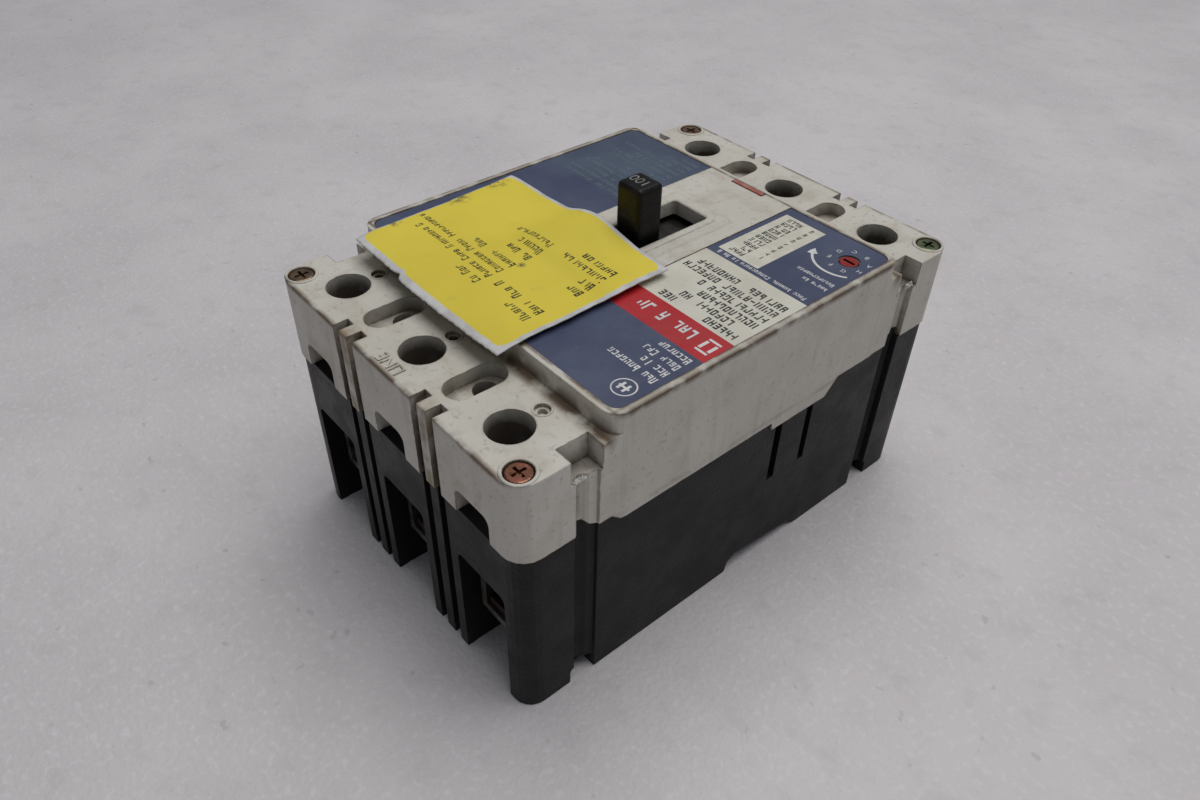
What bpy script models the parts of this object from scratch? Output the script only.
"""Three-pole molded case breaker, built from the separate pieces that it comes apart into.

Frame: the origin is at the bottom centre of the base. X runs across the poles, -Y is the
line end, +Y is the load end and +Z runs up through the cover. The toggle stands upright.
"""
import math

import bmesh
import bpy
from mathutils import Matrix, Vector

MM = 0.001
TINY = 0.1 * MM
WELD = 0.003 * MM
GAP = 0.3 * MM  # between pieces that touch
FAR = 200 * MM  # cutters run this far past a face

# Case: overall sizes
POLE_PITCH = 34.93 * MM
LENGTH = 152.4 * MM
COVER_TOP = 85.9 * MM
TERMINAL_STEP = 5.8 * MM  # the ends of the cover lie this far below its centre
PARTING = 56.0 * MM  # height of the joint between base and cover at the ends
WIDTH = 3 * POLE_PITCH
HALF_LENGTH = LENGTH / 2
TERMINAL_TOP = COVER_TOP - TERMINAL_STEP
POLES = (-1, 0, 1)
ENDS = (-1, 1)
SIDES = (-1, 1)

# Case: walls and edges
CORNER_RADIUS = 6.2 * MM
BASE_INSET = 0.7 * MM  # the base stands in from the cover skirt
END_INSET = 0.25 * MM  # the cover's ends stand in from its centre section
FLOOR = 8.6 * MM
SEAT = 18.0 * MM  # height of the ledges that carry the conductors
BAY_WIDTH = 28.8 * MM
BAY_WALL = 3.0 * MM  # between a bay and its terminal pockets
END_WALL = 3.5 * MM
COVER_WALL = 3.2 * MM
ROOF = 3.0 * MM
RIB = 3.1 * MM
EDGE = 1.0 * MM

# Terminals
TERMINAL_IN = 11.55 * MM  # terminal screw's axis, in from the end face
TERMINAL_Y = HALF_LENGTH - TERMINAL_IN
POCKET_WIDTH = 19.5 * MM
POCKET_LENGTH = 17.7 * MM
POCKET_OUTER = HALF_LENGTH - END_WALL
POCKET_INNER = POCKET_OUTER - POCKET_LENGTH
BAY_HALF_LENGTH = POCKET_INNER - BAY_WALL
POCKET_TOP = 70.0 * MM
MOUTH_TOP = 38.6 * MM
ARCH_WIDTH = 13.2 * MM
ARCH_TOP = 63.8 * MM
ACCESS_RADIUS = 5.75 * MM
COLLAR_WIDTH = POCKET_WIDTH - 2.0 * MM
COLLAR_LENGTH = 12.0 * MM
COLLAR_BOTTOM = SEAT - 3.0 * MM
COLLAR_TOP = SEAT + 26.0 * MM
COLLAR_SIDE = 2.75 * MM
COLLAR_ROOF = 4.5 * MM
LUG_SCREW_RADIUS = 4.0 * MM
LUG_SCREW_BOTTOM = SEAT + 15.0 * MM
LUG_SCREW_TOP = COLLAR_TOP + 8.0 * MM

# Mounting, cover screws and small marks
SLOT_WIDTH = 8.4 * MM
SLOT_LENGTH = 16.5 * MM
SLOT_DEPTH = 4.0 * MM
SLOT_IN = 14.7 * MM
MOUNT_IN = 17.2 * MM
MOUNT_RADIUS = 3.15 * MM
SCREW_SIDE_IN = 5.1 * MM
SCREW_END_IN = 4.7 * MM
SCREW_X = WIDTH / 2 - SCREW_SIDE_IN
SCREW_Y = HALF_LENGTH - SCREW_END_IN
SCREW_RADIUS = 1.5 * MM
SCREW_HEAD_RADIUS = 3.2 * MM
SCREW_HEAD = 1.6 * MM
SCREW_GRIP = 11.9 * MM  # length of each cover screw in the base
SCREW_LENGTH = TERMINAL_TOP - PARTING + SCREW_GRIP
DIMPLE_RADIUS = 2.1 * MM
DIMPLE_IN = 20.4 * MM
BARRIER_SLOT_IN = 4.25 * MM
BARRIER_HALF_RIB = 1.75 * MM
BARRIER_SLOT = 2.9 * MM

# Sides
CHANNEL_START = 16.2 * MM  # outer edge of the side channel, in from the end face
CHANNEL_LENGTH = 6.8 * MM
CHANNEL_DEPTH = 2.4 * MM
POCKET_SIDE_IN = 5.6 * MM
NOTCH_HEIGHT = 5.5 * MM
NOTCH_DEPTH = 4.7 * MM
LEAD_SLOTS = ((8.8 * MM, 11.6 * MM), (21.7 * MM, 24.3 * MM))
LEAD_SLOT_BOTTOM = 29.8 * MM

# Raised centre of the cover
CENTRE_HALF_LENGTH = HALF_LENGTH - 26.0 * MM
CENTRE_CORNER = 4.5 * MM
LABEL_RIM = 2.0 * MM
LABEL_HALF_LENGTH = CENTRE_HALF_LENGTH - LABEL_RIM
LABEL_INNER = 15.9 * MM
LABEL_RECESS = 0.6 * MM
LABEL_THICK = 0.3 * MM
BEZEL_HALF_WIDTH = 13.4 * MM
BEZEL_SLOPE = 3.7 * MM
BEZEL_HALF_LENGTH = 27.5 * MM
BEZEL_HEIGHT = 1.0 * MM

# Toggle handle, its slide and yoke
HANDLE_Y = 3.9 * MM
HANDLE_PIVOT_Z = 52.0 * MM
HANDLE_HEIGHT = 16.0 * MM  # tip above the cover
HANDLE_WIDTH = 9.2 * MM
HANDLE_DEPTH = 8.6 * MM
HANDLE_TRAVEL = 8.0 * MM  # of the stem at the slide, each way
OPENING_WIDTH = 12.9 * MM
OPENING_HALF_LENGTH = 20.1 * MM
SLIDE_DROP = 5.1 * MM  # top of the slide below the cover
SLIDE_THICK = 1.6 * MM
YOKE_GAUGE = 1.3 * MM
YOKE_HEIGHT = 17.5 * MM  # above the pivot
YOKE_HALF_WIDTH = 13.2 * MM
PIVOT_RADIUS = 2.0 * MM
RUNNING = 0.1 * MM

# Mechanism
FRAME_INNER = 9.7 * MM
FRAME_GAUGE = 1.6 * MM
BAR_Y = 8.0 * MM
BAR_Z = SEAT + 10.0 * MM
BAR_RADIUS = 6.5 * MM
BAR_OVERHANG = 13.4 * MM
ARM_WIDTH = 7.0 * MM
ARM_HEIGHT = 5.0 * MM
ARM_REACH = 42.0 * MM
ARM_TAIL = 9.0 * MM
ARM_OPEN = math.radians(11)  # how far the arms stand above their closed place
CRADLE_Y = -14.0 * MM
CRADLE_Z = 54.0 * MM
CRADLE_HALF = 1.6 * MM
UPPER_PIN = Vector((-5.0 * MM, 55.0 * MM))
LUG_PIN = (BAR_RADIUS + 3.5 * MM) * Vector((-0.6, 0.8))  # from the crossbar's axis
UPPER_LENGTH = 11.0 * MM
LOWER_LENGTH = 13.0 * MM
LINK_PIN_RADIUS = 1.4 * MM

# Current path, arc chutes and magnetic trip
STRAP_WIDTH = COLLAR_WIDTH - 2 * COLLAR_SIDE - 1.0 * MM
STRAP_THICK = 2.5 * MM
STRAP_BOTTOM = SEAT + GAP
STRAP_RISE_Y = 27.5 * MM  # where a load strap turns up to meet its braid
PAD_HEIGHT = 2.9 * MM
CHUTE_WIDTH = 25.0 * MM
CHUTE_BOTTOM = SEAT + 7.0 * MM
CHUTE_TOP = CHUTE_BOTTOM + 25.0 * MM
CHUTE_PLATES = 7
MAGNET_WIDTH = 17.6 * MM
MAGNET_LENGTH = 12.0 * MM
MAGNET_Y = BAY_HALF_LENGTH - MAGNET_LENGTH - 4.0 * MM
MAGNET_BOTTOM = SEAT - 6.0 * MM
MAGNET_TOP = SEAT + 12.0 * MM
ARMATURE_Y = MAGNET_Y + MAGNET_LENGTH + 1.8 * MM
ARMATURE_Z = MAGNET_TOP + 3.9 * MM
ARMATURE_THICK = 1.6 * MM
ARMATURE_TAIL = 21.0 * MM
TRIP_Y = MAGNET_Y + 4.0 * MM
TRIP_Z = 61.0 * MM
TRIP_RADIUS = 2.8 * MM
BUTTON_Y = CENTRE_HALF_LENGTH - 2.6 * MM
BUTTON_WIDTH = 11.4 * MM
BUTTON_DEPTH = 1.6 * MM
BUTTON_FREE = 3.0 * MM  # between the button's stem and the trip bar's tab
DIAL_X = WIDTH / 2 - 8.4 * MM
DIAL_Y = 38.6 * MM
DIAL_RADIUS = 2.5 * MM
ADJUST_Y = DIAL_Y - 8.6 * MM
ADJUST_Z = COVER_TOP - 13.9 * MM
ADJUST_RADIUS = 2.2 * MM

# Paper tag lying on the cover
TAG_X = (-47.0 * MM, 19.6 * MM)
TAG_Y = (-56.6 * MM, -2.6 * MM)
TAG_LIFT = 1.6 * MM
TAG_THICK = 0.4 * MM

COLOURS = {  # red, green, blue, roughness, metallic
    "base_black": (0.020, 0.020, 0.022, 0.45, 0.0),
    "cover_grey": (0.66, 0.63, 0.57, 0.55, 0.0),
    "handle_black": (0.012, 0.012, 0.013, 0.35, 0.0),
    "label_blue": (0.075, 0.095, 0.21, 0.40, 0.0),
    "tag_yellow": (0.80, 0.66, 0.06, 0.60, 0.0),
    "button_red": (0.42, 0.07, 0.05, 0.45, 0.0),
    "zinc_steel": (0.58, 0.58, 0.56, 0.38, 1.0),
    "screw_copper": (0.50, 0.28, 0.20, 0.35, 1.0),
    "copper": (0.72, 0.38, 0.24, 0.32, 1.0),
    "dark_molding": (0.06, 0.035, 0.025, 0.50, 0.0),
    "chute_steel": (0.36, 0.33, 0.28, 0.55, 1.0),
}
AXES = {"X": Vector((1, 0, 0)), "Y": Vector((0, 1, 0)), "Z": Vector((0, 0, 1))}
PLANES = {  # the axis an outline is extruded along: its matrix from outline to world
    "X": Matrix(((0, 0, 1, 0), (1, 0, 0, 0), (0, 1, 0, 0), (0, 0, 0, 1))),
    "Y": Matrix(((1, 0, 0, 0), (0, 0, -1, 0), (0, 1, 0, 0), (0, 0, 0, 1))),
    "Z": Matrix.Identity(4),
}


# ---------------------------------------------------------------- scene and helpers

def clear_scene():
    for obj in list(bpy.data.objects):
        bpy.data.objects.remove(obj, do_unlink=True)


def make_collection(name):
    collection = bpy.data.collections.new(name)
    bpy.context.scene.collection.children.link(collection)
    return collection


def make_material(name):
    red, green, blue, roughness, metallic = COLOURS[name]
    material = bpy.data.materials.new(name)
    material.use_nodes = True
    shader = material.node_tree.nodes["Principled BSDF"]
    shader.inputs["Base Color"].default_value = (red, green, blue, 1.0)
    shader.inputs["Roughness"].default_value = roughness
    shader.inputs["Metallic"].default_value = metallic
    return material


def add_mesh(name, bm):
    """Put a finished bmesh in the cutters' collection; finish() moves the real pieces out."""
    bmesh.ops.recalc_face_normals(bm, faces=bm.faces)
    mesh = bpy.data.meshes.new(name)
    bm.to_mesh(mesh)
    bm.free()
    obj = bpy.data.objects.new(name, mesh)
    CUTTERS.objects.link(obj)
    obj.hide_render = True
    obj.display_type = "WIRE"
    return obj


def box(name, x, y, z):
    """A block between (low, high) pairs along X, Y and Z."""
    low = Vector((min(x), min(y), min(z)))
    high = Vector((max(x), max(y), max(z)))
    size = high - low
    bm = bmesh.new()
    place = Matrix.Translation((low + high) / 2) @ Matrix.Diagonal((*size, 1.0))
    bmesh.ops.create_cube(bm, size=1.0, matrix=place)
    return add_mesh(name, bm)


def rod(name, axis, radius, centre, span, segments=24):
    """A round bar along an axis; centre is its place and span its (start, end) on the axis."""
    direction = AXES[axis]
    middle = Vector(centre)
    middle -= direction * middle.dot(direction)
    middle += direction * (span[0] + span[1]) / 2
    turn = Vector((0, 0, 1)).rotation_difference(direction).to_matrix().to_4x4()
    bm = bmesh.new()
    bmesh.ops.create_cone(bm, cap_ends=True, segments=segments, radius1=radius, radius2=radius,
                          depth=abs(span[1] - span[0]), matrix=Matrix.Translation(middle) @ turn)
    return add_mesh(name, bm)


def outline_solid(name, axis, points, start, end):
    """Extrude a closed outline along an axis. Outlines are drawn in YZ, XZ or XY."""
    curve = bpy.data.curves.new(name + "_outline", "CURVE")
    curve.dimensions = "2D"
    curve.fill_mode = "BOTH"
    curve.extrude = abs(end - start) / 2
    spline = curve.splines.new("POLY")
    spline.points.add(len(points) - 1)
    for point, (u, v) in zip(spline.points, points):
        point.co = (u, v, 0.0, 1.0)
    spline.use_cyclic_u = True
    source = bpy.data.objects.new(name + "_outline", curve)
    CUTTERS.objects.link(source)
    source.matrix_world = Matrix.Translation(AXES[axis] * (start + end) / 2) @ PLANES[axis]
    bpy.context.view_layer.update()
    evaluated = source.evaluated_get(bpy.context.evaluated_depsgraph_get())
    mesh = bpy.data.meshes.new_from_object(evaluated)
    mesh.transform(source.matrix_world)
    bpy.data.objects.remove(source)
    bm = bmesh.new()
    bm.from_mesh(mesh)
    bpy.data.meshes.remove(mesh)
    bmesh.ops.remove_doubles(bm, verts=bm.verts, dist=0.001 * MM)
    return add_mesh(name, bm)


def rounded(corners, radius, steps=5):
    """Round the corners of a convex outline; radius may be one value or one for each corner."""
    radii = radius if isinstance(radius, (list, tuple)) else [radius] * len(corners)
    points = []
    count = len(corners)
    for index, corner in enumerate(corners):
        here = Vector(corner)
        back = (Vector(corners[index - 1]) - here).normalized()
        ahead = (Vector(corners[(index + 1) % count]) - here).normalized()
        if radii[index] <= 0:
            points.append(tuple(here))
            continue
        half = back.angle(ahead) / 2
        centre = here + (back + ahead).normalized() * radii[index] / math.sin(half)
        first = here + back * radii[index] / math.tan(half) - centre
        sweep = first.angle_signed(here + ahead * radii[index] / math.tan(half) - centre)
        for step in range(steps + 1):
            arm = first.copy()
            arm.rotate(Matrix.Rotation(-sweep * step / steps, 2))
            points.append(tuple(centre + arm))
    spaced = [index for index, point in enumerate(points) if math.dist(point, points[index - 1]) > 10 * WELD]
    return [points[index] for index in spaced]


def rectangle(u, v):
    return [(min(u), min(v)), (max(u), min(v)), (max(u), max(v)), (min(u), max(v))]


def bevel(obj, width, segments=2, angle=40):
    modifier = obj.modifiers.new("edge", "BEVEL")
    modifier.width = width
    modifier.segments = segments
    modifier.limit_method = "ANGLE"
    modifier.angle_limit = math.radians(angle)
    return obj


def combine(obj, operation, others):
    """Cut or join several solids in one Boolean, taken from a collection of their own."""
    group = bpy.data.collections.new(obj.name + "_" + operation.lower())
    CUTTERS.children.link(group)
    for other in others:
        group.objects.link(other)
        CUTTERS.objects.unlink(other)
    modifier = obj.modifiers.new(operation.lower(), "BOOLEAN")
    modifier.operation = operation
    modifier.operand_type = "COLLECTION"
    modifier.collection = group
    return obj


def cut(obj, *others):
    return combine(obj, "DIFFERENCE", others)


def join(obj, *others):
    return combine(obj, "UNION", others)


def settle(obj):
    """Apply an object's modifiers, so that copies can share its mesh."""
    bpy.context.view_layer.update()
    evaluated = obj.evaluated_get(bpy.context.evaluated_depsgraph_get())
    mesh = bpy.data.meshes.new_from_object(evaluated)
    obj.modifiers.clear()
    obj.data = mesh
    return obj


def weld(mesh):
    """Merge the near-coincident points and slivers that cuts leave behind."""
    bm = bmesh.new()
    bm.from_mesh(mesh)
    bmesh.ops.remove_doubles(bm, verts=bm.verts, dist=WELD)
    bmesh.ops.dissolve_degenerate(bm, edges=bm.edges, dist=WELD)
    bm.to_mesh(mesh)
    bm.free()


def finish(obj, material, origin=(0.0, 0.0, 0.0)):
    """Move a piece to the breaker's own collection, with its origin where it turns."""
    settle(obj)
    mesh = obj.data
    weld(mesh)
    mesh.transform(Matrix.Translation(-Vector(origin)))
    mesh.materials.clear()
    mesh.materials.append(MATERIALS[material])
    mesh.shade_smooth()
    mesh.set_sharp_from_angle(angle=math.radians(35))
    obj.location = Vector(origin)
    CUTTERS.objects.unlink(obj)
    BREAKER.objects.link(obj)
    obj.hide_render = False
    obj.display_type = "TEXTURED"
    return obj


def copies(piece, names_and_offsets):
    """Further pieces that share a finished piece's mesh."""
    for name, offset in names_and_offsets:
        obj = bpy.data.objects.new(name, piece.data)
        obj.location = piece.location + Vector(offset)
        BREAKER.objects.link(obj)


def pole_x(pole):
    return pole * POLE_PITCH


def around(centre, width):
    return (centre - width / 2, centre + width / 2)


def towards(end, near, far):
    """A (low, high) pair between two distances from the middle, on one end or side."""
    return (min(end * near, end * far), max(end * near, end * far))


# ---------------------------------------------------------------- shapes that base and cover share

def parting_line(shift):
    """The stepped joint line along the side, as (Y, Z) points, moved up or down by shift."""
    end = LENGTH
    channel = HALF_LENGTH - CHANNEL_START
    inner = channel - CHANNEL_LENGTH
    rise = 2.6 * MM
    dip = 2.8 * MM
    deep = 5.3 * MM
    step = -shift * 0.8
    line = [
        (-end, 0), (-channel - 0.2 * MM + step, 0), (-channel + 0.2 * MM + step, rise),
        (-channel + 2.7 * MM, rise), (-channel + 4.4 * MM, 0.6 * MM), (-inner, -0.3 * MM),
        (-inner + 3.7 * MM, -0.4 * MM), (-inner + 6.3 * MM, -dip), (5.4 * MM - step, -dip),
        (5.9 * MM - step, -deep), (27.6 * MM, -deep), (32.0 * MM, -0.4 * MM),
        (inner, -0.4 * MM), (inner + 1.6 * MM, rise), (channel - 0.2 * MM - step, rise),
        (channel + 0.2 * MM - step, 0), (end, 0),
    ]
    return [(y, PARTING + z + shift) for y, z in line]


def barrier_slots():
    """Narrow slots beside the rib between two poles, for barriers between the terminals."""
    slots = []
    for end in ENDS:
        for side in SIDES:
            for edge in SIDES:
                inner = side * POLE_PITCH / 2 + edge * BARRIER_HALF_RIB
                across = (inner, inner + edge * BARRIER_SLOT)
                along = towards(end, HALF_LENGTH - BARRIER_SLOT_IN, LENGTH)
                slots.append(box("barrier_slot", across, along, (-FAR, FAR)))
    return slots


def side_channels(face):
    """Scooped upright channels near the ends of both sides; face is the side wall's X."""
    channels = []
    outer = HALF_LENGTH - CHANNEL_START
    profile = [(-0.1, -0.05), (0.75, 0.02), (1.0, 0.22), (0.8, 0.43), (0.5, 0.62), (0.35, 0.94), (-0.1, 1.0)]
    for end in ENDS:
        for side in SIDES:
            points = [(side * (face - depth * CHANNEL_DEPTH), end * (outer - along * CHANNEL_LENGTH))
                      for depth, along in profile]
            points += [(side * (face + 5 * MM), points[-1][1]), (side * (face + 5 * MM), points[0][1])]
            channels.append(outline_solid("side_channel", "Z", points, -FAR, FAR))
    return channels


def mounting_holes():
    holes = []
    for end in ENDS:
        for side in SIDES:
            place = (side * POLE_PITCH / 2, end * (HALF_LENGTH - MOUNT_IN), 0)
            holes.append(rod("mounting_hole", "Z", MOUNT_RADIUS, place, (-FAR, FAR)))
    return holes


def terminal_pockets(bottom, top):
    pockets = []
    for end in ENDS:
        for pole in POLES:
            across = around(pole_x(pole), POCKET_WIDTH)
            along = towards(end, POCKET_INNER, POCKET_OUTER)
            pockets.append(box("terminal_pocket", across, along, (bottom, top)))
    return pockets


def end_openings(width, bottom, top, radius):
    """Openings through the end walls, one at each terminal, with rounded top corners."""
    openings = []
    for end in ENDS:
        for pole in POLES:
            outline = rounded(rectangle(around(pole_x(pole), width), (bottom, top)), [0, 0, radius, radius])
            start, stop = towards(end, POCKET_OUTER - MM, LENGTH)
            openings.append(outline_solid("end_opening", "Y", outline, start, stop))
    return openings


# ---------------------------------------------------------------- base

def bay_cutters():
    """The three long bays. Ledges at both ends carry the straps; a well holds each magnet."""
    trough = [(-22.5 * MM, SEAT + MM), (-20 * MM, FLOOR), (24 * MM, FLOOR), (26.5 * MM, SEAT + MM)]
    well = (MAGNET_Y - 0.4 * MM, MAGNET_Y + MAGNET_LENGTH + 0.4 * MM)
    bays = []
    for pole in POLES:
        across = around(pole_x(pole), BAY_WIDTH)
        bays.append(box("bay", across, (-BAY_HALF_LENGTH, BAY_HALF_LENGTH), (SEAT, FAR)))
        bays.append(outline_solid("trough", "X", trough, *across))
        bays.append(box("well", across, well, (MAGNET_BOTTOM - GAP, SEAT + MM)))
    return bays


def strap_slots():
    slots = []
    for end in ENDS:
        for pole in POLES:
            across = around(pole_x(pole), STRAP_WIDTH + 1.6 * MM)
            along = towards(end, BAY_HALF_LENGTH - MM, POCKET_INNER + MM)
            slots.append(box("strap_slot", across, along, (SEAT - TINY, FAR)))
    return slots


def base_side_cutters(face):
    """Foot notches, shallow recesses and lead slots in both sides."""
    outer = HALF_LENGTH - CHANNEL_START
    recess = [(-4.0 * MM, -MM), (-3.0 * MM, 3.6 * MM), (0.0, 5.6 * MM), (24.0 * MM, 3.2 * MM),
              (28.4 * MM, -MM)]
    cutters = []
    for side in SIDES:
        start, stop = towards(side, face - NOTCH_DEPTH, FAR)
        cutters.append(outline_solid("side_recess", "X", recess, start, stop))
        for low, high in LEAD_SLOTS:
            across = towards(side, face - 4.0 * MM, FAR)
            cutters.append(box("lead_slot", across, (low, high), (LEAD_SLOT_BOTTOM, FAR)))
        for end in ENDS:
            along = towards(end, outer - 6.5 * MM, outer + 1.5 * MM)
            corners = rectangle(along, (-4 * NOTCH_HEIGHT, NOTCH_HEIGHT))
            notch = rounded(corners, [0, 0, 1.5 * MM, 1.5 * MM], 3)
            cutters.append(outline_solid("foot_notch", "X", notch, start, stop))
    return cutters


def make_base():
    half_width = WIDTH / 2 - BASE_INSET
    half_length = HALF_LENGTH - BASE_INSET
    outline = rectangle((-half_width, half_width), (-half_length, half_length))
    outline = rounded(outline, CORNER_RADIUS - BASE_INSET)
    base = bevel(outline_solid("base", "Z", outline, 0, PARTING + 10 * MM), 0.8 * MM)
    above = parting_line(-GAP / 2) + [(LENGTH, FAR), (-LENGTH, FAR)]
    cutters = [outline_solid("above_base", "X", above, -WIDTH, WIDTH)]
    cutters += bay_cutters() + strap_slots() + terminal_pockets(-FAR, FAR)
    cutters += end_openings(POCKET_WIDTH - 0.3 * MM, -FAR, MOUTH_TOP, 2.0 * MM)
    cutters += barrier_slots() + mounting_holes()
    cutters += side_channels(half_width) + base_side_cutters(half_width)
    wall_span = POLE_PITCH / 2 + (POLE_PITCH - BAY_WIDTH) / 2 + TINY
    clearance = BAR_RADIUS + 1.0 * MM
    cutters.append(box("crossbar_slot", (-wall_span, wall_span), (BAR_Y - clearance, BAR_Y + clearance),
                       (BAR_Z - clearance, FAR)))
    for end in ENDS:
        for side in SIDES:
            hole = rod("screw_hole", "Z", SCREW_RADIUS + 0.3 * MM, (side * SCREW_X, end * SCREW_Y, 0),
                       (TERMINAL_TOP - SCREW_LENGTH - 2 * MM, FAR), 12)
            cutters.append(hole)
    cut(base, *cutters)
    finish(base, "base_black")


# ---------------------------------------------------------------- cover

def cover_cavities():
    """The hollow under the cover: ribs divide its line half, a shelf carries the button's spring."""
    shoulder = TERMINAL_TOP - ROOF
    roof = COVER_TOP - ROOF
    upper = CENTRE_HALF_LENGTH - COVER_WALL
    middle = -20 * MM
    inner = POLE_PITCH / 2 - RIB / 2
    outer = POLE_PITCH / 2 + RIB / 2
    side = WIDTH / 2 - COVER_WALL
    line_half = [(-BAY_HALF_LENGTH, 0), (middle + TINY, 0), (middle + TINY, roof), (-upper, roof),
                 (-upper, shoulder), (-BAY_HALF_LENGTH, shoulder)]
    load_half = [(middle, 0), (BAY_HALF_LENGTH, 0), (BAY_HALF_LENGTH, shoulder), (upper, shoulder),
                 (upper, roof), (middle, roof)]
    load = outline_solid("cavity_load", "X", load_half, -side, side)
    shelf = box("button_shelf", (-6 * MM, 6 * MM), (BUTTON_Y - 2.6 * MM, BAY_HALF_LENGTH + MM),
                (TERMINAL_TOP - 13.5 * MM, TERMINAL_TOP - 11.5 * MM))
    stem = (TERMINAL_TOP - 20 * MM, TERMINAL_TOP - 5 * MM)
    return [
        outline_solid("cavity_left", "X", line_half, -side, -outer),
        outline_solid("cavity_middle", "X", line_half, -inner, inner),
        outline_solid("cavity_right", "X", line_half, outer, side),
        settle(cut(load, shelf)),
        rod("stem_hole", "Z", 1.3 * MM, (0, BUTTON_Y, 0), stem, 12),
    ]


def terminal_top_cutters():
    """Screw access holes, mounting slots, dimples and the pockets at the sides."""
    cutters = []
    outer = HALF_LENGTH - CHANNEL_START
    for end in ENDS:
        for pole in POLES:
            x = pole_x(pole)
            terminal = (x, end * TERMINAL_Y, 0)
            cutters.append(rod("access", "Z", ACCESS_RADIUS, terminal, (POCKET_TOP - MM, FAR), 32))
            dimple = (x, end * (HALF_LENGTH - DIMPLE_IN), 0)
            cutters.append(rod("dimple", "Z", DIMPLE_RADIUS, dimple, (TERMINAL_TOP - 0.9 * MM, FAR), 16))
            cutters.append(rod("dimple_core", "Z", 1.2 * MM, dimple, (TERMINAL_TOP - 2.0 * MM, FAR), 12))
        for side in SIDES:
            centre = end * (HALF_LENGTH - SLOT_IN)
            slot = rectangle(around(side * POLE_PITCH / 2, SLOT_WIDTH), around(centre, SLOT_LENGTH))
            slot = rounded(slot, SLOT_WIDTH / 2, 6)
            cutters.append(outline_solid("mounting_slot", "Z", slot, TERMINAL_TOP - SLOT_DEPTH, FAR))
            place = (side * SCREW_X, end * SCREW_Y, 0)
            cutters.append(rod("screw_hole", "Z", SCREW_RADIUS + 0.3 * MM, place, (0, FAR), 12))
            seat = TERMINAL_TOP - SCREW_HEAD - GAP
            cutters.append(rod("screw_seat", "Z", SCREW_HEAD_RADIUS + GAP, place, (seat, FAR), 20))
            across = towards(side, WIDTH / 2 - POCKET_SIDE_IN, FAR)
            along = towards(end, outer - 7.3 * MM, outer + 1.6 * MM)
            cutters.append(box("side_pocket", across, along, (TERMINAL_TOP - 7.1 * MM, FAR)))
    return cutters


def make_bezel():
    """The low sloping frame round the toggle opening."""
    bezel = box("bezel", around(0, 2 * BEZEL_HALF_WIDTH), around(HANDLE_Y, 2 * BEZEL_HALF_LENGTH),
                (COVER_TOP - MM, COVER_TOP + BEZEL_HEIGHT))
    top_x = BEZEL_HALF_WIDTH - BEZEL_SLOPE
    top_y = BEZEL_HALF_LENGTH - BEZEL_SLOPE
    for vertex in bezel.data.vertices:
        if vertex.co.z > COVER_TOP:
            vertex.co.x = math.copysign(top_x, vertex.co.x)
            vertex.co.y = HANDLE_Y + math.copysign(top_y, vertex.co.y - HANDLE_Y)
    return settle(bevel(bezel, 3.0 * MM, 4, 60))


def label_outline(side, inset):
    """A label or its recess, with its outer corners rounded."""
    outer = WIDTH / 2 - LABEL_RIM + inset
    corners = rectangle(towards(side, LABEL_INNER - inset, outer), around(0, 2 * (LABEL_HALF_LENGTH + inset)))
    radii = [3.0 * MM if abs(x) > WIDTH / 3 else 0 for x, _ in corners]
    return rounded(corners, radii, 4)


def centre_cutters():
    """Label recesses, toggle opening, button slot and dial hole in the raised centre."""
    cutters = []
    for side in SIDES:
        outline = label_outline(side, 0.2 * MM)
        cutters.append(outline_solid("label_recess", "Z", outline, COVER_TOP - LABEL_RECESS, FAR))
    opening = rectangle(around(0, OPENING_WIDTH), around(HANDLE_Y, 2 * OPENING_HALF_LENGTH))
    opening = rounded(opening, MM, 3)
    cutters.append(outline_solid("toggle_opening", "Z", opening, TERMINAL_TOP - ROOF, FAR))
    across = around(0, BUTTON_WIDTH + 2 * GAP)
    along = around(BUTTON_Y, BUTTON_DEPTH + 2 * GAP)
    cutters.append(box("button_slot", across, along, (TERMINAL_TOP - ROOF - MM, FAR)))
    cutters.append(rod("dial_hole", "Z", DIAL_RADIUS + GAP, (DIAL_X, DIAL_Y, 0), (TERMINAL_TOP, FAR), 24))
    return cutters


def make_cover():
    half_width = WIDTH / 2 - END_INSET
    outline = rounded(rectangle((-half_width, half_width), (-HALF_LENGTH, HALF_LENGTH)), CORNER_RADIUS)
    cover = bevel(outline_solid("cover", "Z", outline, PARTING - 15 * MM, TERMINAL_TOP), EDGE)
    raised = rounded(rectangle(around(0, WIDTH), around(0, 2 * CENTRE_HALF_LENGTH)), CENTRE_CORNER)
    centre = outline_solid("centre", "Z", raised, PARTING - 14 * MM, COVER_TOP)
    join(cover, settle(bevel(centre, 1.2 * MM, 3)), make_bezel())
    below = parting_line(GAP / 2) + [(LENGTH, -FAR), (-LENGTH, -FAR)]
    cutters = [outline_solid("below_cover", "X", below, -WIDTH, WIDTH)]
    cutters += cover_cavities() + terminal_pockets(0, POCKET_TOP) + terminal_top_cutters() + centre_cutters()
    cutters += end_openings(ARCH_WIDTH, 0, ARCH_TOP, 2.5 * MM)
    cutters += barrier_slots() + mounting_holes() + side_channels(WIDTH / 2)
    cut(cover, *cutters)
    finish(cover, "cover_grey")


def make_labels():
    bottom = COVER_TOP - LABEL_RECESS + 0.15 * MM
    for side, name in zip(SIDES, ("label_left", "label_right")):
        label = outline_solid(name, "Z", label_outline(side, 0), bottom, bottom + LABEL_THICK)
        if side > 0:
            cut(label, rod("dial_window", "Z", DIAL_RADIUS + 0.5 * MM, (DIAL_X, DIAL_Y, 0), (0, FAR), 24))
        finish(label, "label_blue")


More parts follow.
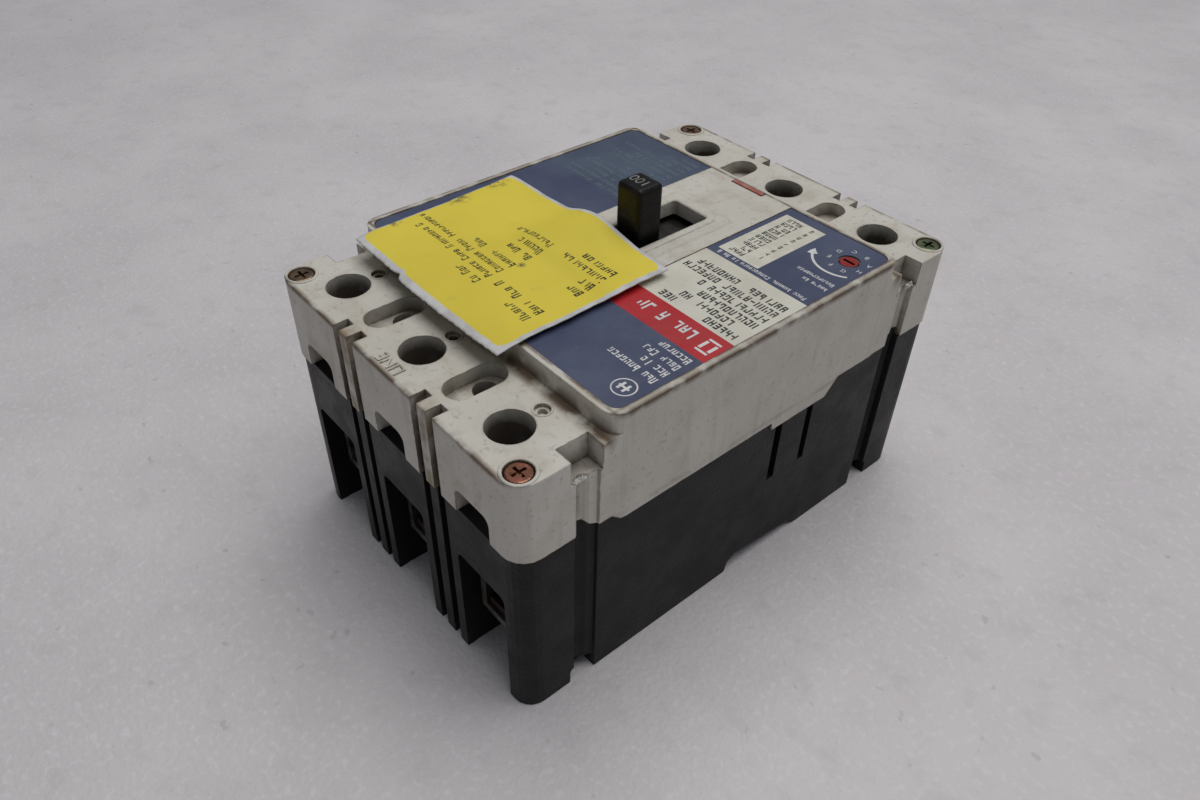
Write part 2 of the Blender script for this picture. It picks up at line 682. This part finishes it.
def make_cover_screws():
    """Pan-head screws with a cross recess, one in each corner."""
    top = TERMINAL_TOP
    screw = rod("cover_screw_1", "Z", SCREW_HEAD_RADIUS, (0, 0, 0), (top - SCREW_HEAD, top), 20)
    bevel(screw, 0.45 * MM, 2)
    join(screw, rod("shank", "Z", SCREW_RADIUS, (0, 0, 0), (top - SCREW_LENGTH, top - SCREW_HEAD / 2), 12))
    arm = (-1.9 * MM, 1.9 * MM)
    slit = (-0.4 * MM, 0.4 * MM)
    cut(screw, box("cross_a", arm, slit, (top - MM, FAR)), box("cross_b", slit, arm, (top - MM, FAR)))
    finish(screw, "screw_copper", (0, 0, top))
    corners = [(side * SCREW_X, end * SCREW_Y, 0) for end in ENDS for side in SIDES]
    copies(screw, [("cover_screw_%d" % (n + 1), place) for n, place in enumerate(corners) if n])
    screw.location += Vector(corners[0])


def make_tag():
    bottom = COVER_TOP + TAG_LIFT
    outline = rounded(rectangle(TAG_X, TAG_Y), 1.5 * MM, 2)
    tag = outline_solid("inventory_tag", "Z", outline, bottom, bottom + TAG_THICK)
    finish(tag, "tag_yellow")


# ---------------------------------------------------------------- terminals and current path

def terminal_names(stem):
    return [("%s_%s_%d" % (name, stem, pole + 2), end, pole)
            for end, name in zip(ENDS, ("line", "load")) for pole in POLES]


def spread(piece, stem):
    """Copy a piece made at the line end of pole 1 to all six terminals."""
    names = terminal_names(stem)
    home = Vector((pole_x(-1), -TERMINAL_Y, 0))
    places = [(name, Vector((pole_x(pole), end * TERMINAL_Y, 0)) - home) for name, end, pole in names]
    copies(piece, places[1:])


def make_collars():
    x = pole_x(-1)
    place = (x, -TERMINAL_Y, 0)
    along = around(-TERMINAL_Y, COLLAR_LENGTH)
    roof = COLLAR_TOP - COLLAR_ROOF
    collar = box("line_collar_1", around(x, COLLAR_WIDTH), along, (COLLAR_BOTTOM, COLLAR_TOP))
    bevel(collar, 0.7 * MM)
    cut(collar,
        box("window", around(x, COLLAR_WIDTH - 2 * COLLAR_SIDE), (-LENGTH, 0), (SEAT, roof)),
        rod("tapped", "Z", LUG_SCREW_RADIUS + GAP, place, (roof - MM, FAR), 20))
    finish(collar, "zinc_steel", place)
    spread(collar, "collar")


def make_lug_screws():
    x = pole_x(-1)
    place = (x, -TERMINAL_Y, 0)
    screw = rod("line_lug_screw_1", "Z", LUG_SCREW_RADIUS, place, (LUG_SCREW_BOTTOM, LUG_SCREW_TOP), 20)
    bevel(screw, 0.5 * MM, 1)
    cut(screw, box("slot", around(x, 1.4 * MM), (-LENGTH, 0), (LUG_SCREW_TOP - 2 * MM, FAR)))
    finish(screw, "zinc_steel", place)
    spread(screw, "lug_screw")


def make_conductors():
    """Line straps end under the moving contacts; load straps turn up to meet the braids."""
    top = STRAP_BOTTOM + STRAP_THICK
    outer = TERMINAL_Y + COLLAR_LENGTH / 2 - 0.9 * MM
    line = [(-outer, STRAP_BOTTOM), (-24 * MM, STRAP_BOTTOM), (-24 * MM, top), (-28 * MM, top),
            (-28 * MM, top + PAD_HEIGHT), (-34 * MM, top + PAD_HEIGHT), (-34 * MM, top), (-outer, top)]
    rise = (STRAP_RISE_Y, STRAP_RISE_Y + STRAP_THICK)
    rise_top = SEAT + 16.0 * MM
    load = [(rise[0], STRAP_BOTTOM), (outer, STRAP_BOTTOM), (outer, top), (rise[1], top),
            (rise[1], rise_top), (rise[0], rise_top)]
    for name, outline in (("line_conductor", line), ("load_conductor", load)):
        start, stop = around(pole_x(-1), STRAP_WIDTH)
        strap = outline_solid(name + "_1", "X", outline, start, stop)
        finish(strap, "copper", (pole_x(-1), 0, 0))
        copies(strap, [("%s_%d" % (name, pole + 2), (pole_x(pole + 1), 0, 0)) for pole in POLES[1:]])


def make_arc_chutes():
    """A stack of steel plates between two cheeks, notched for the moving contact."""
    x = pole_x(-1)
    back = -BAY_HALF_LENGTH + 1.2 * MM
    front = -27 * MM
    chute = box("arc_chute_1", around(x, CHUTE_WIDTH), (back, front), (CHUTE_BOTTOM, CHUTE_TOP))
    pitch = (CHUTE_TOP - CHUTE_BOTTOM) / CHUTE_PLATES
    gaps = []
    for index in range(1, CHUTE_PLATES):
        between = around(CHUTE_BOTTOM + pitch * index, 2.4 * MM)
        gaps.append(box("gap", around(x, CHUTE_WIDTH - 2.6 * MM), (back + 2 * MM, 0), between))
    notch_end = BAR_Y - ARM_REACH - 5 * MM
    gaps.append(box("notch", around(x, ARM_WIDTH + 3 * MM), (notch_end, 0), (0, FAR)))
    cut(chute, *gaps)
    finish(chute, "chute_steel", (x, 0, 0))
    copies(chute, [("arc_chute_%d" % (pole + 2), (pole_x(pole + 1), 0, 0)) for pole in POLES[1:]])


# ---------------------------------------------------------------- crossbar, arms and toggle mechanism

def opened(obj):
    """Turn a piece drawn in the closed place about the crossbar's axis to the rest place."""
    pivot = Matrix.Translation((0, BAR_Y, BAR_Z))
    obj.data.transform(pivot @ Matrix.Rotation(-ARM_OPEN, 4, "X") @ pivot.inverted())
    return obj


def make_arms():
    x = pole_x(-1)
    low = BAR_Z - ARM_HEIGHT / 2
    tip = BAR_Y - ARM_REACH
    arm = box("contact_arm_1", around(x, ARM_WIDTH), (tip, BAR_Y + ARM_TAIL), (low, low + ARM_HEIGHT))
    bevel(arm, 0.6 * MM, 2)
    along = (tip + 0.6 * MM, tip + 5.6 * MM)
    join(arm, box("pad", around(x, ARM_WIDTH - MM), along, (low - 1.5 * MM, low + MM)))
    opened(settle(arm))
    finish(arm, "copper", (x, BAR_Y, BAR_Z))
    copies(arm, [("contact_arm_%d" % (pole + 2), (pole_x(pole + 1), 0, 0)) for pole in POLES[1:]])


def lug_outline():
    """A lug from the crossbar up to the lower link's pin, with an open slot for the pin."""
    pin = Vector((BAR_Y, BAR_Z)) + LUG_PIN
    along = LUG_PIN.normalized()
    across = Vector((-along.y, along.x))
    half = 3.4 * MM
    slot = 1.5 * MM
    end = pin + along * 1.6 * MM
    floor = pin - along * 1.7 * MM
    root = Vector((BAR_Y, BAR_Z))
    points = [root - across * half, end - across * half, end - across * slot, floor - across * slot,
              floor + across * slot, end + across * slot, end + across * half, root + across * half]
    return [tuple(point) for point in points]


def make_crossbar():
    """The molded bar that carries the three contact arms and the two lugs of the lower link."""
    reach = POLE_PITCH + BAR_OVERHANG
    bar = rod("crossbar", "X", BAR_RADIUS, (0, BAR_Y, BAR_Z), (-reach, reach), 24)
    outline = lug_outline()
    join(bar, *[outline_solid("lug", "X", outline, *towards(side, 4.3 * MM, 5.8 * MM)) for side in SIDES])
    windows = []
    for pole in POLES:
        window = box("arm_window", around(pole_x(pole), ARM_WIDTH + 2 * GAP), around(BAR_Y, 4 * BAR_RADIUS),
                     around(BAR_Z, ARM_HEIGHT + 2 * GAP))
        windows.append(opened(window))
    cut(bar, *windows)
    finish(bar, "dark_molding", (0, BAR_Y, BAR_Z))


def knee_pin():
    """Where the two toggle links meet, from their lengths and their outer pins, as (Y, Z)."""
    lower = Vector((BAR_Y, BAR_Z)) + LUG_PIN
    span = lower - UPPER_PIN
    distance = span.length
    along = (UPPER_LENGTH ** 2 - LOWER_LENGTH ** 2 + distance ** 2) / (2 * distance)
    aside = math.sqrt(UPPER_LENGTH ** 2 - along ** 2)
    direction = span / distance
    normal = Vector((-direction.y, direction.x))
    return UPPER_PIN + direction * along + normal * aside


def link_outline(start, end, half_width):
    """A link with round ends between two pins given as (Y, Z)."""
    direction = (end - start).normalized()
    across = Vector((-direction.y, direction.x)) * half_width
    reach = direction * half_width
    corners = [start - reach - across, end + reach - across, end + reach + across, start - reach + across]
    return rounded([tuple(corner) for corner in corners], half_width, 4)


def make_upper_link():
    knee = knee_pin()
    outline = link_outline(UPPER_PIN, knee, 2.8 * MM)
    inner = CRADLE_HALF + 0.6 * MM
    link = outline_solid("upper_link", "X", outline, inner, inner + 1.2 * MM)
    pin = rod("upper_pin", "X", LINK_PIN_RADIUS, (0, *UPPER_PIN), (-inner - MM, inner + MM), 16)
    join(link, outline_solid("twin", "X", outline, -inner - 1.2 * MM, -inner), pin)
    cut(link, rod("knee_hole", "X", LINK_PIN_RADIUS + RUNNING, (0, *knee), (-FAR, FAR), 16))
    finish(link, "zinc_steel", (0, *UPPER_PIN))


def make_lower_link():
    """Two plates on the knee pin; their stub pins end beside the crossbar's slotted lugs."""
    knee = knee_pin()
    lower = Vector((BAR_Y, BAR_Z)) + LUG_PIN
    outline = link_outline(knee, lower, 2.6 * MM)
    link = outline_solid("lower_link", "X", outline, 6.3 * MM, 7.5 * MM)
    stubs = [rod("stub", "X", 1.0 * MM, (0, *lower), towards(side, 6.1 * MM, 7.0 * MM), 12) for side in SIDES]
    join(link, outline_solid("twin", "X", outline, -7.5 * MM, -6.3 * MM), *stubs,
         rod("knee_pin", "X", LINK_PIN_RADIUS, (0, *knee), (-8.4 * MM, 8.4 * MM), 16))
    finish(link, "zinc_steel", (0, *knee))


def make_cradle():
    """The latched arm that holds the toggle's upper pin until the trip bar lets it go."""
    tip = TRIP_Y - 7.0 * MM
    outline = [(CRADLE_Y - 3.5 * MM, CRADLE_Z - 3 * MM), (-2 * MM, 51.6 * MM), (8 * MM, 54.5 * MM),
               (tip - 7 * MM, 55.0 * MM), (tip, 57.0 * MM), (tip, 59.4 * MM), (10 * MM, 60 * MM),
               (-4 * MM, 59 * MM), (CRADLE_Y - 3.5 * MM, CRADLE_Z + 3.4 * MM)]
    cradle = outline_solid("cradle", "X", outline, -CRADLE_HALF, CRADLE_HALF)
    reach = FRAME_INNER + FRAME_GAUGE
    join(cradle, rod("cradle_pin", "X", PIVOT_RADIUS, (0, CRADLE_Y, CRADLE_Z), (-reach, reach), 20))
    cut(cradle, rod("upper_hole", "X", LINK_PIN_RADIUS + RUNNING, (0, *UPPER_PIN), (-FAR, FAR), 16))
    finish(cradle, "zinc_steel", (0, CRADLE_Y, CRADLE_Z))


def make_side_frames():
    """Steel plates on both sides of the mechanism, arched over the crossbar."""
    top = CRADLE_Z + 9.0 * MM
    arch = BAR_Z + BAR_RADIUS + 3.5 * MM
    outline = [(-19.5 * MM, FLOOR + GAP), (-10 * MM, FLOOR + GAP), (-10 * MM, arch), (16 * MM, arch),
               (16 * MM, FLOOR + GAP), (23 * MM, FLOOR + GAP), (23 * MM, 44 * MM), (30 * MM, 52 * MM),
               (30 * MM, top), (-17 * MM, top), (-19.5 * MM, top - 3 * MM)]
    for side, name in zip(SIDES, ("side_frame_left", "side_frame_right")):
        start, stop = towards(side, FRAME_INNER, FRAME_INNER + FRAME_GAUGE)
        frame = outline_solid(name, "X", outline, start, stop)
        stud = towards(side, FRAME_INNER + 0.5 * MM, YOKE_HALF_WIDTH + 0.5 * MM)
        join(frame, rod("stud", "X", PIVOT_RADIUS, (0, HANDLE_Y, HANDLE_PIVOT_Z), stud, 20))
        cut(frame, rod("hole", "X", PIVOT_RADIUS + RUNNING, (0, CRADLE_Y, CRADLE_Z), (-FAR, FAR), 20))
        finish(frame, "zinc_steel")


def make_yoke():
    """The bent strap that swings on the frames' studs and carries the toggle on its bridge."""
    top = HANDLE_PIVOT_Z + YOKE_HEIGHT
    depth = around(HANDLE_Y, 9.0 * MM)
    yoke = box("handle_yoke", around(0, 2 * YOKE_HALF_WIDTH), depth, (HANDLE_PIVOT_Z - 4.5 * MM, top))
    bevel(yoke, 0.6 * MM, 2)
    inside = around(0, 2 * (YOKE_HALF_WIDTH - YOKE_GAUGE))
    cut(yoke, box("inside", inside, (-FAR, FAR), (0, top - 2 * MM)),
        rod("stud_hole", "X", PIVOT_RADIUS + RUNNING, (0, HANDLE_Y, HANDLE_PIVOT_Z), (-FAR, FAR), 20))
    finish(yoke, "zinc_steel", (0, HANDLE_Y, HANDLE_PIVOT_Z))


def make_handle():
    bottom = HANDLE_PIVOT_Z + YOKE_HEIGHT + GAP
    top = COVER_TOP + HANDLE_HEIGHT
    handle = box("toggle_handle", around(0, HANDLE_WIDTH), around(HANDLE_Y, HANDLE_DEPTH), (bottom + MM, top))
    bevel(handle, 1.3 * MM, 3)
    join(handle, box("foot", (-7 * MM, 7 * MM), around(HANDLE_Y, 14 * MM), (bottom, bottom + 3 * MM)))
    finish(handle, "handle_black", (0, HANDLE_Y, HANDLE_PIVOT_Z))


def make_slide():
    """The plate under the opening that follows the stem and keeps dust out."""
    top = COVER_TOP - SLIDE_DROP
    half_length = OPENING_HALF_LENGTH + HANDLE_TRAVEL + 2.9 * MM
    slide = box("handle_slide", around(0, OPENING_WIDTH + 3.5 * MM), around(HANDLE_Y, 2 * half_length),
                (top - SLIDE_THICK, top))
    window = around(0, HANDLE_WIDTH + 1.4 * MM)
    cut(slide, box("window", window, around(HANDLE_Y, HANDLE_DEPTH + 2 * MM), (0, FAR)))
    finish(slide, "handle_black")


def coil(name, material, top, bottom, radius, wire, turns, per_turn=8):
    """A close helix of round wire between two (X, Y, Z) ends, which the turns lean between."""
    count = turns * per_turn
    curve = bpy.data.curves.new(name + "_wire", "CURVE")
    curve.dimensions = "3D"
    curve.bevel_depth = wire
    curve.bevel_resolution = 2
    curve.use_fill_caps = True
    spline = curve.splines.new("POLY")
    spline.points.add(count)
    for index, point in enumerate(spline.points):
        angle = 2 * math.pi * index / per_turn
        centre = Vector(top).lerp(Vector(bottom), index / count)
        point.co = (centre.x + radius * math.cos(angle), centre.y + radius * math.sin(angle), centre.z, 1.0)
    return tube(name, material, curve)


def tube(name, material, curve):
    """Turn a bevelled curve into a closed mesh piece."""
    source = bpy.data.objects.new(name + "_wire", curve)
    CUTTERS.objects.link(source)
    bpy.context.view_layer.update()
    mesh = bpy.data.meshes.new_from_object(source.evaluated_get(bpy.context.evaluated_depsgraph_get()))
    bpy.data.objects.remove(source)
    bm = bmesh.new()
    bm.from_mesh(mesh)
    bpy.data.meshes.remove(mesh)
    bmesh.ops.remove_doubles(bm, verts=bm.verts, dist=0.001 * MM)
    return finish(add_mesh(name, bm), material)


def make_toggle_springs():
    """Springs that pull the knee pin up towards the yoke's bridge."""
    knee = knee_pin()
    top = HANDLE_PIVOT_Z + YOKE_HEIGHT - 2.0 * MM - 0.6 * MM
    for side, name in zip(SIDES, ("toggle_spring_left", "toggle_spring_right")):
        x = side * 4.85 * MM
        coil(name, "zinc_steel", (x, HANDLE_Y, top), (x, knee.x, knee.y + LINK_PIN_RADIUS + 0.6 * MM),
             0.95 * MM, 0.25 * MM, 9, 6)


def make_braids():
    """Flexible leads from the tails of the contact arms to the load straps."""
    for pole in POLES:
        start = Vector((BAR_Y + ARM_TAIL + 1.6 * MM, BAR_Z + 1.2 * MM))
        end = Vector((STRAP_RISE_Y - 1.6 * MM, SEAT + 13.0 * MM))
        curve = bpy.data.curves.new("braid", "CURVE")
        curve.dimensions = "3D"
        curve.bevel_depth = 1.2 * MM
        curve.bevel_resolution = 2
        curve.use_fill_caps = True
        spline = curve.splines.new("POLY")
        spline.points.add(8)
        for index, point in enumerate(spline.points):
            t = index / 8
            place = start.lerp(end, t)
            point.co = (pole_x(pole), place.x, place.y - 4.0 * MM * math.sin(math.pi * t), 1.0)
        tube("braid_%d" % (pole + 2), "copper", curve)


# ---------------------------------------------------------------- magnetic trip, button and dial

def make_magnets():
    x = pole_x(-1)
    along = (MAGNET_Y, MAGNET_Y + MAGNET_LENGTH)
    magnet = box("magnet_1", around(x, MAGNET_WIDTH), along, (MAGNET_BOTTOM, MAGNET_TOP))
    cut(magnet, box("throat", around(x, STRAP_WIDTH + MM), (0, FAR), (MAGNET_BOTTOM + 3.2 * MM, FAR)))
    finish(magnet, "zinc_steel", (x, 0, 0))
    copies(magnet, [("magnet_%d" % (pole + 2), (pole_x(pole + 1), 0, 0)) for pole in POLES[1:]])


def make_armatures():
    """Bent plates above the magnets, each with a tail that reaches for the trip bar."""
    x = pole_x(-1)
    low, high = around(ARMATURE_Z, ARMATURE_THICK)
    inner, outer = around(ARMATURE_Y, ARMATURE_THICK)
    tip = MAGNET_Y + 0.5 * MM
    top = low + ARMATURE_TAIL
    outline = [(tip, low), (outer, low), (outer, top), (inner, top), (inner, high), (tip, high)]
    start, stop = around(x, MAGNET_WIDTH - 1.6 * MM)
    armature = outline_solid("armature_1", "X", outline, start, stop)
    finish(armature, "zinc_steel", (x, ARMATURE_Y, ARMATURE_Z))
    copies(armature, [("armature_%d" % (pole + 2), (pole_x(pole + 1), 0, 0)) for pole in POLES[1:]])


def make_trip_bar():
    """The bar across all poles that any armature or the button can turn."""
    reach = WIDTH / 2 - COVER_WALL - 1.5 * MM
    bar = rod("trip_bar", "X", TRIP_RADIUS, (0, TRIP_Y, TRIP_Z), (-reach, reach), 20)
    low = ARMATURE_Z + ARMATURE_TAIL - 9 * MM
    finger = (TRIP_Y - 0.8 * MM, TRIP_Y + 1.2 * MM)
    fingers = [box("finger", around(pole_x(pole), 5 * MM), finger, (low, TRIP_Z)) for pole in POLES]
    tab = box("tab", (-4 * MM, 4 * MM), (TRIP_Y, BUTTON_Y + 1.8 * MM), (TRIP_Z - 0.9 * MM, TRIP_Z + MM))
    latch = box("latch", (-3 * MM, 3 * MM), (TRIP_Y - 6 * MM, TRIP_Y), (TRIP_Z - 0.8 * MM, TRIP_Z + 0.9 * MM))
    join(bar, *fingers, tab, latch)
    finish(bar, "dark_molding", (0, TRIP_Y, TRIP_Z))


def make_button():
    """The push-to-trip bar, its stem and its return spring on the cover's shelf."""
    top = COVER_TOP + 0.3 * MM
    bottom = TERMINAL_TOP - 4 * MM
    head = box("trip_button", around(0, BUTTON_WIDTH), around(BUTTON_Y, BUTTON_DEPTH), (bottom, top))
    bevel(head, 0.3 * MM, 2)
    stem = (TRIP_Z + MM + BUTTON_FREE, bottom + MM)
    join(head, rod("stem", "Z", 0.7 * MM, (0, BUTTON_Y, 0), stem, 12))
    finish(head, "button_red", (0, BUTTON_Y, top))
    coil("trip_button_spring", "zinc_steel", (0, BUTTON_Y, TERMINAL_TOP - 4.6 * MM),
         (0, BUTTON_Y, TERMINAL_TOP - 11.1 * MM), 1.7 * MM, 0.25 * MM, 5, 8)


def make_dial():
    """The trip-setting dial, which turns in a plunger that is pushed in first."""
    top = COVER_TOP - 0.35 * MM
    place = (DIAL_X, DIAL_Y, 0)
    dial = rod("adjust_dial", "Z", DIAL_RADIUS, place, (ADJUST_Z - 4 * MM, top), 24)
    cam_place = (DIAL_X, DIAL_Y - 0.6 * MM, 0)
    join(dial, rod("cam", "Z", 3.2 * MM, cam_place, (ADJUST_Z - 4.6 * MM, ADJUST_Z - 0.6 * MM), 20))
    cut(dial, box("dial_slot", around(DIAL_X, 3.6 * MM), around(DIAL_Y, 0.9 * MM), (top - 0.8 * MM, FAR)))
    finish(dial, "button_red", (DIAL_X, DIAL_Y, top))
    low = ADJUST_Z + 2.6 * MM
    plunger = rod("dial_plunger", "Z", 4.4 * MM, place, (low, COVER_TOP - ROOF - GAP), 24)
    cut(plunger, rod("bore", "Z", DIAL_RADIUS + RUNNING, place, (0, FAR), 24))
    finish(plunger, "dark_molding", (DIAL_X, DIAL_Y, low))


def make_adjust_bar():
    reach = WIDTH / 2 - COVER_WALL - 1.5 * MM
    bar = rod("adjust_bar", "X", ADJUST_RADIUS, (0, ADJUST_Y, ADJUST_Z), (-reach, reach), 16)
    along = (ADJUST_Y, DIAL_Y - 4.4 * MM)
    join(bar, box("lever", around(DIAL_X, 6 * MM), along, around(ADJUST_Z - MM, 1.8 * MM)))
    finish(bar, "dark_molding", (0, ADJUST_Y, ADJUST_Z))


clear_scene()
BREAKER = make_collection("molded_case_breaker")
CUTTERS = make_collection("cutters")
MATERIALS = {name: make_material(name) for name in COLOURS}

make_base()
make_cover()
make_labels()
make_cover_screws()
make_tag()
make_collars()
make_lug_screws()
make_conductors()
make_arc_chutes()
make_arms()
make_crossbar()
make_upper_link()
make_lower_link()
make_cradle()
make_side_frames()
make_yoke()
make_handle()
make_slide()
make_toggle_springs()
make_braids()
make_magnets()
make_armatures()
make_trip_bar()
make_button()
make_dial()
make_adjust_bar()
